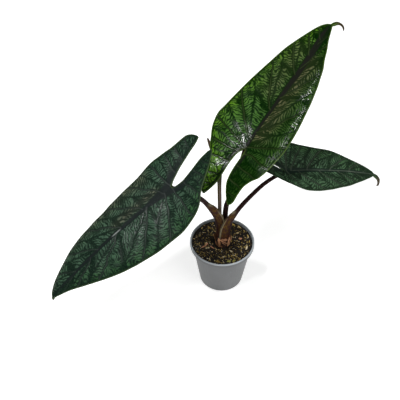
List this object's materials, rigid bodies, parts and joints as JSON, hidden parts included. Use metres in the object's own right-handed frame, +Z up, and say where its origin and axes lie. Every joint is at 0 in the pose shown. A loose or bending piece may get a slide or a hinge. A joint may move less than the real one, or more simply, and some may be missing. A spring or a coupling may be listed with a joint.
{
  "type": "potted alocasia scalprum plant",
  "caption": "Young potted aroid with long arrow-shaped puckered leaves on dark stalks, in a small grey nursery pot of dark mix.",
  "frame": {"origin": "centre of the pot's base, on the surface that it stands on", "axes": "+Z up along the pot's axis, +X to the viewer's right and +Y away from the viewer of the front view"},
  "size_m": [0.2954, 0.1887, 0.2119],
  "materials": {
    "pot_plastic": "satin",
    "potting_mix": "matte",
    "stem_skin": "matte",
    "dry_scale": "matte",
    "petiole": "satin",
    "rolled_leaf": "satin",
    "blade_left": "satin",
    "blade_centre": "satin",
    "blade_right": "satin"
  },
  "bodies": {
    "root": {"pot": "pot_plastic", "soil": "potting_mix", "stem_base": "stem_skin", "dry_scales": "dry_scale", "leaf_left_petiole": "petiole", "leaf_centre_petiole": "petiole", "leaf_right_petiole": "petiole", "new_leaf": "rolled_leaf", "leaf_left_blade": "blade_left", "leaf_centre_blade": "blade_centre", "leaf_right_blade": "blade_right"}
  },
  "joints": []
}
